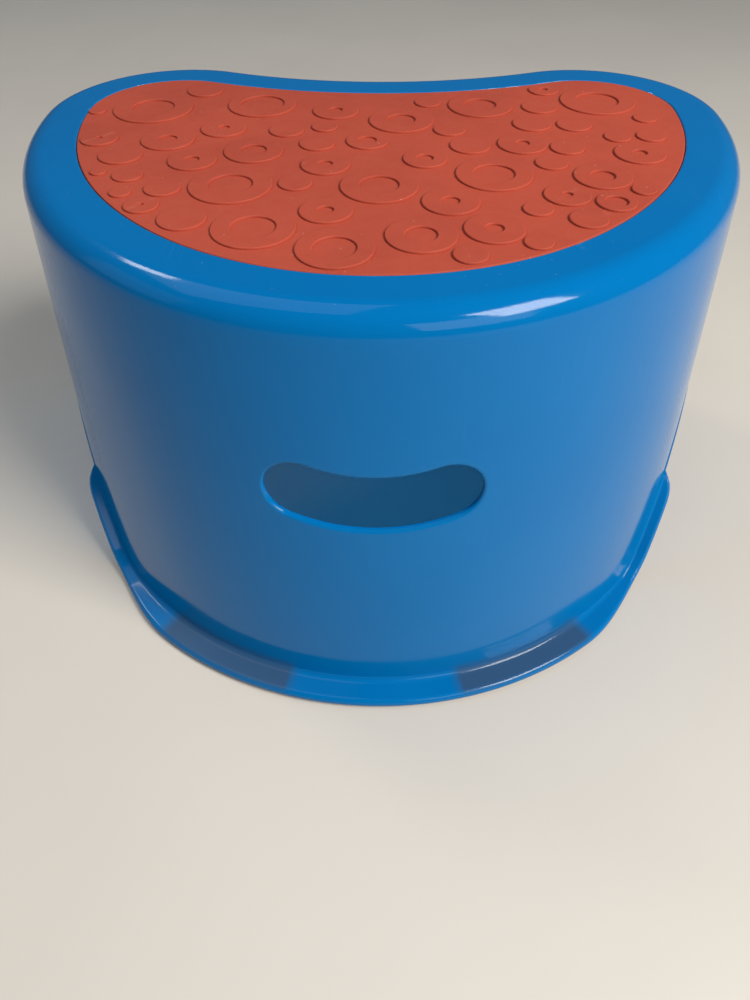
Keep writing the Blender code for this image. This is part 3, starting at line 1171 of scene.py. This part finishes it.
    def rib_tree(self) -> bpy.types.NodeTree:
        """A geometry tree that lays ribs both ways, joins them and trims them to the moulding.

        Returns:
            The tree, whose Spread, Count, Trim and Finish are inputs.
        """
        tree = bpy.data.node_groups.new("deck_rib_grid", "GeometryNodeTree")
        sockets(
            tree,
            {"Rib": ("Geometry", None), "Spread X": ("Float", self.rib_spread_x),
             "Spread Y": ("Float", self.rib_spread_y), "Count": ("Int", 2),
             "Trim": ("Object", None), "Finish": ("Material", None)},
            {"Ribs": "Geometry"},
        )
        nodes = Nodes(tree)
        given, result = nodes.add("NodeGroupInput"), nodes.add("NodeGroupOutput")

        def lay(spread: bpy.types.NodeSocket, axis: str, turn: float) -> bpy.types.NodeSocket:
            """Ribs spaced along one axis.

            Args:
                spread: how far apart they stand.
                axis: the axis they are spaced along.
                turn: their direction, about Z.

            Returns:
                Their realised geometry.
            """
            half = nodes.math("MULTIPLY", spread, -0.5)
            start = nodes.add("ShaderNodeCombineXYZ", {axis: half}).outputs[0]
            step = nodes.add("ShaderNodeCombineXYZ", {axis: spread}).outputs[0]
            line = nodes.add(
                "GeometryNodeMeshLine",
                {"Count": given.outputs["Count"], "Start Location": start, "Offset": step},
            )
            laid = nodes.add(
                "GeometryNodeInstanceOnPoints",
                {"Points": line.outputs[0], "Instance": given.outputs["Rib"],
                 "Rotation": (0.0, 0.0, turn)},
            )
            return nodes.add("GeometryNodeRealizeInstances", {0: laid.outputs[0]}).outputs[0]

        across = lay(given.outputs["Spread Y"], "Y", 0.0)
        along = lay(given.outputs["Spread X"], "X", math.pi / 2)
        crossed = nodes.add("GeometryNodeMeshBoolean", operation="UNION", solver="EXACT")
        for part in (across, along):
            tree.links.new(part, crossed.inputs["Mesh 2"])
        body = nodes.add("GeometryNodeObjectInfo", {"Object": given.outputs["Trim"]})
        trimmed = nodes.add("GeometryNodeMeshBoolean", operation="INTERSECT", solver="EXACT")
        tree.links.new(crossed.outputs[0], trimmed.inputs["Mesh 2"])
        tree.links.new(body.outputs["Geometry"], trimmed.inputs["Mesh 2"])
        real = nodes.add("GeometryNodeRealizeInstances", {0: trimmed.outputs[0]})
        dressed = nodes.add("GeometryNodeSetMaterial",
                            {"Geometry": real.outputs[0], "Material": given.outputs["Finish"]})
        tree.links.new(dressed.outputs[0], result.inputs[0])
        return tree

    def pocket_mesh(self, pads: list[FootPad]) -> bpy.types.Mesh:
        """Closed bodies that cut the pads' pockets into the underside of the lip.

        Args:
            pads: the foot pads.

        Returns:
            One mesh that holds a body for each pad.
        """
        points, faces, levels = [], [], (-self.wall, self.stand_off + self.pocket_depth)
        for pad in pads:
            loop = pad.plan(SEAT_GAP, 36)
            faces += lofted(len(levels), len(loop), len(points) * len(loop))
            for up in levels:
                points.append(np.concatenate([loop, np.full((len(loop), 1), up)], axis=1))
        return mesh_from("pad_pockets", points, faces)

    def build(self, finish: bpy.types.Material, pads: list[FootPad]) -> bpy.types.Object:
        """Makes the finished moulding.

        Args:
            finish: its material.
            pads: the foot pads, whose pockets are cut and whose shade shows through the lip.

        Returns:
            The moulding, fixed to the frame.
        """
        blank = new_object("rib_blank", self.rib_blank())
        trim = new_object("rib_trim", self.rib_trim())
        values = {"Spread X": self.rib_spread_x, "Spread Y": self.rib_spread_y, "Count": 2,
                  "Trim": trim, "Finish": finish}
        ribs = new_object("ribs", run_tree(blank, self.rib_tree(), values, "ribs"))
        pockets = new_object("pad_pockets", self.pocket_mesh(pads))
        shell = new_object("moulded_shell", self.skin())
        for operation, other in (("UNION", ribs), ("DIFFERENCE", pockets)):
            cut = shell.modifiers.new(other.name, "BOOLEAN")
            cut.operation, cut.object, cut.solver = operation, other, "EXACT"
        whole = baked(shell, "moulded_shell")
        shell.modifiers.clear()
        shell.data = whole
        finish_mesh(whole)
        whole.materials.clear()
        whole.materials.append(finish)
        discard(blank, trim, ribs, pockets)
        self.shade_over_pads(whole, pads)
        settle(shell, Slot.SHELL, "shell")
        return shell

    def shade_over_pads(self, mesh: bpy.types.Mesh, pads: list[FootPad]) -> None:
        """Stores how strongly the painted shade of the pad below darkens each point of the lip.

        Args:
            mesh: the finished moulding.
            pads: the foot pads.
        """
        points = np.empty(len(mesh.vertices) * 3)
        mesh.vertices.foreach_get("co", points)
        points = points.reshape(-1, 3)
        shade = np.zeros(len(points))
        near = np.flatnonzero(points[:, 2] < self.pad_shade_height)
        for pad in pads:
            loop = pad.plan(0.0, 40)
            tree = BVHTree.FromPolygons(
                [(x, y, 0.0) for x, y in loop], [tuple(range(len(loop)))]
            )
            for index in near:
                x, y, up = points[index]
                _, _, _, away = tree.find_nearest((x, y, 0.0))
                strength = max(0.0, 1.0 - away / self.pad_shade_reach)
                strength *= max(0.0, 1.0 - up / self.pad_shade_height)
                shade[index] = max(shade[index], min(1.0, 1.5 * strength))
        store(mesh, PAD_SHADE, self.pad_shade_most * shade)


# ------------------------------------------------------------------ the four foot pads


@dataclass
class FootPad:
    """One soft strip let into the underside of the lip."""

    outline: BeanOutline
    arch: SideArch
    end: End
    side: Side
    outer_offset: float
    length: float = 70 * MM
    width: float = 10.5 * MM
    thickness: float = 2.5 * MM
    margin: float = 34.6 * MM
    edge_round: float = 0.5 * MM

    @property
    def name(self) -> str:
        """The CAD node that this pad stands for."""
        return f"{self.end.value}_{self.side.name.lower()}_foot_pad"

    @property
    def first_run(self) -> float:
        """Where the pad begins.

        Returns:
            The run of its end nearer the front.
        """
        beyond = self.arch.foot_tangent + self.margin
        if self.end is End.FRONT:
            return self.arch.start - beyond - self.length
        return self.arch.start + self.arch.span + beyond

    def plan(self, grow: float, steps: int) -> np.ndarray:
        """The pad's outline on the floor.

        Args:
            grow: clearance to add all round.
            steps: how many pieces each long side is divided into.

        Returns:
            Rows of (x, y).
        """
        runs = np.linspace(self.first_run - grow, self.first_run + self.length + grow, steps + 1)
        outside = self.outline.place(runs, self.outer_offset + grow, self.side.value)
        inside = self.outline.place(runs[::-1], self.outer_offset - self.width - grow,
                                    self.side.value)
        return np.concatenate([outside, inside])

    def section(self, inset: float) -> list[tuple[float, float]]:
        """The rounded cross-section.

        Args:
            inset: how far its corners are drawn in.

        Returns:
            (offset, up) pairs, counter-clockwise.
        """
        soft = self.edge_round
        radius = max(soft - inset, 0.02 * MM)
        low, high = soft, self.thickness - soft
        near, far = self.outer_offset - self.width + soft, self.outer_offset - soft
        return (
            arc((far, low), radius, -90, 0, 4)
            + arc((far, high), radius, 0, 90, 4)
            + arc((near, high), radius, 90, 180, 4)
            + arc((near, low), radius, 180, 270, 4)
        )

    def build(self, finish: bpy.types.Material) -> bpy.types.Object:
        """Makes the finished pad.

        Args:
            finish: its material.

        Returns:
            The pad, fixed to the frame.
        """
        soft, start, end = self.edge_round, self.first_run, self.first_run + self.length
        turns = [math.radians(15 * step) for step in range(7)]
        cap = [(soft * (1 - math.cos(turn)), soft * (1 - math.sin(turn))) for turn in turns]
        stations = [(start + along, inset) for along, inset in cap]
        stations += [(run, 0.0) for run in np.linspace(start + soft, end - soft, 34)[1:-1]]
        stations += [(end - along, inset) for along, inset in reversed(cap)]
        rings = []
        for run, inset in stations:
            section = np.array(self.section(inset))
            plan = self.outline.place(np.full(len(section), run), section[:, 0], self.side.value)
            rings.append(np.concatenate([plan, section[:, 1:]], axis=1))
        faces = lofted(len(rings), len(rings[0]))
        pad = new_object(f"soft_{self.name}", mesh_from(self.name, rings, faces))
        pad.data.materials.append(finish)
        settle(pad, Slot.FOOT_PAD, self.name)
        return pad


# ------------------------------------------------------------------ the grip mat


@dataclass(frozen=True)
class Ring:
    """One raised ring on the mat, or a disc where its hole is 0, in millimetres from the middle."""

    x: float
    y: float
    radius: float
    hole: float


RINGS = tuple(
    Ring(*row)
    for row in (
        (-88, 80, 9, 0), (81, 81, 7.5, 2), (105, 66, 18, 10), (23, 64, 6.5, 0),
        (-57, 61, 16.5, 10.5), (48, 60, 15.5, 7.5), (76, 58, 8.5, 0), (-109, 56, 19, 10),
        (-21, 53, 11, 3), (-135, 52, 4, 0), (123, 44, 5.5, 0), (10, 41, 15, 6.5),
        (70, 37, 9, 0), (89, 36, 8, 0), (-25, 33, 6, 0), (-71, 31, 10.5, 2.5),
        (32, 30, 7.5, 0), (-42, 29, 8, 0), (121, 23, 6.5, 0), (106, 22, 6, 0),
        (-125, 19, 8.5, 1.2), (-94, 18, 12, 4), (-5, 17, 9.5, 4), (-27, 14, 8, 0),
        (63, 14, 11, 3), (40, 12, 9, 0), (82, 10, 7.5, 0), (-54, 6, 13, 5.5),
        (112, 4, 11, 3), (-111, 1, 9.5, 0), (20, -2, 9.5, 3.5), (-79, -4, 10.5, 3),
        (73, -6, 7, 0), (-22, -8, 10.5, 3), (-116, -16, 3.5, 0), (48, -17, 16, 8.5),
        (-103, -19, 6.5, 0), (92, -19, 12, 5), (-33, -26, 7, 0), (-59, -28, 17, 9),
        (1, -28, 16, 8), (-86, -31, 7.5, 0), (106, -31, 5, 0), (-102, -35, 4.5, 0),
        (75, -36, 9.5, 2), (29, -42, 11.5, 3.5), (93, -42, 8, 4.5), (-91, -46, 7, 1),
        (62, -48, 6, 0), (-19, -50, 10.5, 3), (80, -56, 7.5, 0), (-73, -57, 9.5, 0),
        (-45, -64, 16, 8.5), (44, -64, 11.5, 3.5), (17, -69, 13.5, 6), (59, -74, 5.5, 0),
        (-14, -79, 14.5, 8), (34, -83, 6.5, 0),
    )
)


# What the ring and disc blanks and their seeds carry, which the finished mat doesn't need.
BLANK_LABELS = ("inner", "lean", "sink", "foot", "turn", "radius", "hole", "middle")


@dataclass
class GripMat:
    """The soft mat in the deck's recess: a thin plate with raised rings and discs."""

    outline: BeanOutline
    level: float = 203 * MM
    drop: float = 2.5 * MM
    relief: float = 0.9 * MM
    edge_round: float = 0.4 * MM
    border_round: float = 0.5 * MM
    segments: int = 44
    half_columns: int = 180

    def plate(self) -> bpy.types.Mesh:
        """The mat's plate, its upper border rounded.

        Returns:
            The mesh.
        """
        run, mirror = both_halves(np.linspace(0.0, self.outline.half_run, self.half_columns + 1))
        soft, low = self.border_round, self.level - self.drop + SEAT_GAP
        section = [(-SEAT_GAP, low)]
        section += arc((-SEAT_GAP - soft, self.level - soft), soft, 0, 90, 5)
        section += [(-SEAT_GAP - soft - 0.3 * MM, self.level)]
        rows = []
        for across, up in section:
            plan = self.outline.place(run, across, mirror)
            rows.append(np.concatenate([plan, np.full((len(run), 1), up)], axis=1))
        return mesh_from("mat_plate", rows, lofted(len(rows), len(run)))

    def blank(self, name: str, hollow: bool) -> bpy.types.Mesh:
        """A ring or disc of unit size, which carries where each point goes in a real one.

        Args:
            name: the mesh's name.
            hollow: whether it is a ring.

        Returns:
            A closed mesh whose points lie on a stack of unit circles. On each point, "turn" is its
            direction, "inner" is 1 on the hole's side, "lean" and "sink" are how many edge
            roundings it lies in from that side and below the top, and "foot" is 1 on the sunken
            underside.
        """
        quarter = np.linspace(0, math.pi / 2, 5)
        curve = [(1 - math.cos(turn), 1 - math.sin(turn)) for turn in quarter]
        side = [(0.0, 0.0, 1.0)] + [(lean, sink, 0.0) for lean, sink in curve] + [(1.7, 0.0, 0.0)]
        section = [(0.0, *point) for point in side]
        if hollow:
            section += [(1.0, *point) for point in reversed(side)]
        turns = np.linspace(0.0, 2 * math.pi, self.segments, endpoint=False)
        circle = np.stack([np.cos(turns), np.sin(turns), np.zeros_like(turns)], axis=1)
        # The unit shape is kept open-spaced so that its sides never coincide.
        rows = [circle * (2.0 - 0.1 * step) for step in range(len(section))]
        ids = np.arange(len(rows) * self.segments).reshape(len(rows), -1)
        pairs = list(zip(ids, ids[1:])) + ([(ids[-1], ids[0])] if hollow else [])
        faces = [face[::-1] for one, other in pairs for face in strip(one, other)]
        if not hollow:
            faces += [tuple(ids[0].tolist()), tuple(ids[-1][::-1].tolist())]
        mesh = bpy.data.meshes.new(name)
        mesh.from_pydata(np.concatenate(rows).tolist(), [], faces)
        table = np.repeat(np.array(section), self.segments, axis=0)
        for column, label in enumerate(("inner", "lean", "sink", "foot")):
            store(mesh, label, table[:, column])
        store(mesh, "turn", np.tile(circle, (len(section), 1)))
        return mesh

    def seeds(self) -> bpy.types.Mesh:
        """One point for each raised ring, with its sizes.

        Returns:
            A mesh of loose points that carry "radius", "hole" and "middle".
        """
        mesh = bpy.data.meshes.new("ring_seeds")
        middles = [(ring.x * MM, ring.y * MM, 0.0) for ring in RINGS]
        mesh.from_pydata(middles, [], [])
        store(mesh, "radius", np.array([ring.radius * MM for ring in RINGS]))
        store(mesh, "hole", np.array([ring.hole * MM for ring in RINGS]))
        store(mesh, "middle", np.array(middles))
        return mesh

    def tree(self) -> bpy.types.NodeTree:
        """A geometry tree that sets a ring or disc on every seed and joins them to the plate.

        Returns:
            The tree, whose blanks, levels, edge rounding and finish are inputs.
        """
        tree = bpy.data.node_groups.new("raised_rings", "GeometryNodeTree")
        sockets(
            tree,
            {"Seeds": ("Geometry", None), "Ring": ("Object", None), "Disc": ("Object", None),
             "Plate": ("Object", None), "Top": ("Float", self.level + self.relief),
             "Foot": ("Float", self.level - self.drop / 2), "Edge": ("Float", self.edge_round),
             "Finish": ("Material", None)},
            {"Mat": "Geometry"},
        )
        nodes = Nodes(tree)
        given, result = nodes.add("NodeGroupInput"), nodes.add("NodeGroupOutput")

        def read(label: str, kind: str = "FLOAT") -> bpy.types.NodeSocket:
            """A named attribute.

            Args:
                label: its name.
                kind: its data type.

            Returns:
                Its value.
            """
            return nodes.add(
                "GeometryNodeInputNamedAttribute", {"Name": label}, data_type=kind
            ).outputs[0]

        def shape(label: str) -> bpy.types.NodeSocket:
            """The mesh of the object in the named input."""
            info = nodes.add("GeometryNodeObjectInfo", {"Object": given.outputs[label]})
            return info.outputs["Geometry"]

        is_ring = nodes.math("GREATER_THAN", read("hole"), 0.0)
        is_disc = nodes.math("SUBTRACT", 1.0, is_ring)
        joined = nodes.add("GeometryNodeJoinGeometry")
        for label, chosen in (("Ring", is_ring), ("Disc", is_disc)):
            laid = nodes.add(
                "GeometryNodeInstanceOnPoints",
                {"Points": given.outputs["Seeds"], "Selection": chosen, "Instance": shape(label)},
            )
            tree.links.new(laid.outputs[0], joined.inputs[0])
        real = nodes.add("GeometryNodeRealizeInstances", {0: joined.outputs[0]})
        edge = given.outputs["Edge"]
        inner, lean = read("inner"), nodes.math("MULTIPLY", read("lean"), edge)
        outside = nodes.math("SUBTRACT", read("radius"), lean)
        inside = nodes.math("ADD", read("hole"), lean)
        span = nodes.math("SUBTRACT", inside, outside)
        reach = nodes.math("MULTIPLY_ADD", span, inner, outside)
        upper = nodes.math("SUBTRACT", given.outputs["Top"],
                           nodes.math("MULTIPLY", read("sink"), edge))
        fall = nodes.math("SUBTRACT", given.outputs["Foot"], upper)
        up = nodes.math("MULTIPLY_ADD", fall, read("foot"), upper)
        turn, middle = read("turn", "FLOAT_VECTOR"), read("middle", "FLOAT_VECTOR")
        spoke = nodes.add("ShaderNodeVectorMath", {0: turn, "Scale": reach},
                          operation="SCALE").outputs[0]
        rise = nodes.add("ShaderNodeCombineXYZ", {"Z": up}).outputs[0]
        place = nodes.vector("ADD", nodes.vector("ADD", spoke, middle), rise)
        shaped = nodes.add("GeometryNodeSetPosition",
                           {"Geometry": real.outputs[0], "Position": place})
        union = nodes.add("GeometryNodeMeshBoolean", operation="UNION", solver="EXACT")
        tree.links.new(shape("Plate"), union.inputs["Mesh 2"])
        tree.links.new(shaped.outputs[0], union.inputs["Mesh 2"])
        whole = nodes.add("GeometryNodeRealizeInstances", {0: union.outputs[0]})
        dressed = nodes.add("GeometryNodeSetMaterial",
                            {"Geometry": whole.outputs[0], "Material": given.outputs["Finish"]})
        tree.links.new(dressed.outputs[0], result.inputs[0])
        return tree

    def build(self, finish: bpy.types.Material) -> bpy.types.Object:
        """Makes the finished mat.

        Args:
            finish: its material.

        Returns:
            The mat, fixed to the frame.
        """
        seeds = new_object("ring_seeds", self.seeds())
        ring = new_object("ring_blank", self.blank("ring_blank", True))
        disc = new_object("disc_blank", self.blank("disc_blank", False))
        plate = new_object("mat_plate", self.plate())
        values = {"Ring": ring, "Disc": disc, "Plate": plate, "Top": self.level + self.relief,
                  "Foot": self.level - self.drop / 2, "Edge": self.edge_round, "Finish": finish}
        mat = new_object("ringed_mat", run_tree(seeds, self.tree(), values, "ringed_mat"))
        for layer in list(mat.data.attributes):
            if layer.name in BLANK_LABELS:
                mat.data.attributes.remove(layer)
        finish_mesh(mat.data, 38.0)
        discard(seeds, ring, disc, plate)
        settle(mat, Slot.MAT, "grip_mat")
        return mat


# ------------------------------------------------------------------ the studio


@dataclass(frozen=True)
class SoftBox:
    """A square or oblong area light that points at the stool."""

    name: str
    place: tuple[float, float, float]
    width: float
    height: float
    power: float
    colour: Colour
    aim: tuple[float, float, float] = (0.0, 0.0, 0.08)

    def build(self) -> bpy.types.Object:
        """Makes the light and turns it to its aim.

        Returns:
            The light's object.
        """
        lamp = bpy.data.lights.new(self.name, "AREA")
        lamp.shape, lamp.size, lamp.size_y = "RECTANGLE", self.width, self.height
        lamp.energy, lamp.color = self.power, self.colour
        thing = bpy.data.objects.new(self.name, lamp)
        toward = Vector(self.aim) - Vector(self.place)
        turn = toward.to_track_quat("-Z", "Y").to_matrix().to_4x4()
        thing.matrix_world = Matrix.Translation(self.place) @ turn
        bpy.context.scene.collection.objects.link(thing)
        return thing


@dataclass
class Studio:
    """The floor, the soft lights and the camera."""

    floor_reach: float = 3.0
    world_colour: Colour = (0.50, 0.72, 1.0)
    world_strength: float = 0.12
    lights: tuple[SoftBox, ...] = (
        SoftBox("window_right", (1.05, -0.75, 1.35), 0.7, 0.7, 36.0, (1.0, 0.97, 0.93)),
        SoftBox("front_bounce", (0.9, -1.5, 1.1), 1.2, 0.9, 8.0, (1.0, 0.985, 0.96)),
        SoftBox("overhead", (-0.9, 0.2, 2.3), 1.8, 1.8, 10.0, (0.93, 0.97, 1.0)),
        SoftBox("ceiling_lamp", (-1.15, 0.75, 1.60), 0.34, 0.34, 5.0, (1.0, 0.98, 0.94)),
        SoftBox("fill_left", (-2.4, -0.4, 1.0), 1.6, 1.2, 2.0, (0.74, 0.86, 1.0)),
        SoftBox("glow_through_shell", (0.0, -0.01, 0.18), 0.16, 0.10, 0.10, (0.04, 0.42, 1.0),
                (0.0, -0.01, 0.0)),
    )
    camera_place: tuple[float, float, float] = (0.0063, -0.3263, 0.3355)
    heading: float = math.radians(1.56)
    pitch: float = math.radians(46.64)
    roll: float = math.radians(-0.49)
    lens: float = 27.0
    sensor: float = 36.0

    def build(self) -> None:
        """Makes the floor, the lights and the camera."""
        reach = self.floor_reach
        corners = [(-reach, -reach, 0), (reach, -reach, 0), (reach, reach, 0), (-reach, reach, 0)]
        mesh = bpy.data.meshes.new("floor")
        mesh.from_pydata(corners, [], [(0, 1, 2, 3)])
        floor = new_object("floor", mesh)
        mesh.materials.append(FloorPaint("floor_paint").material())
        for light in self.lights:
            light.build()
        world = bpy.data.worlds.new("soft_room")
        bpy.context.scene.world = world
        world.use_nodes = True
        backdrop = world.node_tree.nodes["Background"]
        backdrop.inputs["Color"].default_value = (*self.world_colour, 1.0)
        backdrop.inputs["Strength"].default_value = self.world_strength
        self._camera()
        bpy.context.scene.view_settings.view_transform = "Standard"

    def _camera(self) -> None:
        """Makes the camera and hands it to the scene."""
        lens = bpy.data.cameras.new("camera")
        lens.lens, lens.sensor_width = self.lens, self.sensor
        lens.clip_start = 0.01
        thing = bpy.data.objects.new("camera", lens)
        turn = Matrix.Rotation(self.heading, 4, "Z")
        turn = turn @ Matrix.Rotation(math.pi / 2 - self.pitch, 4, "X")
        turn = turn @ Matrix.Rotation(self.roll, 4, "Z")
        thing.matrix_world = Matrix.Translation(self.camera_place) @ turn
        bpy.context.scene.collection.objects.link(thing)
        bpy.context.scene.camera = thing


# ------------------------------------------------------------------ the stool


@dataclass
class StepStool:
    """The whole stool: moulding, mat and pads."""

    pad_inset: float = 2.6 * MM
    outline: BeanOutline = field(init=False)
    moulding: Moulding = field(init=False)
    mat: GripMat = field(init=False)
    pads: list[FootPad] = field(init=False)

    def __post_init__(self) -> None:
        """Sets each piece on the shared outline."""
        draft, rim, height = Moulding.draft, Moulding.rim_width, Moulding.height
        self.outline = BeanOutline(foot_offset=rim + draft * height)
        arch = SideArch()
        self.moulding = Moulding(self.outline, arch, HandHole())
        self.mat = GripMat(self.outline)
        foot = float(self.moulding.wall_offset(Moulding.stand_off))
        outer = foot + Moulding.lip_width - self.pad_inset
        self.pads = [
            FootPad(self.outline, arch, end, side, outer) for end in End for side in Side
        ]

    def build(self) -> None:
        """Makes and dresses every piece."""
        effects = Effects()
        self.moulding.build(GlossyPlastic("blue_polypropylene").material(effects), self.pads)
        self.mat.build(SoftRubber("orange_grip_rubber").material(effects))
        pad_rubber = SoftRubber("foot_pad_rubber", colour=(0.40, 0.085, 0.05), grain_scale=2200.0)
        pad_finish = pad_rubber.material(effects)
        for pad in self.pads:
            pad.build(pad_finish)


def main() -> None:
    """Loads the frame, builds the stool and the studio."""
    logging.basicConfig(level=logging.INFO, format="%(name)s: %(message)s")
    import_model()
    StepStool().build()
    Studio().build()


if __name__ == "__main__":
    main()
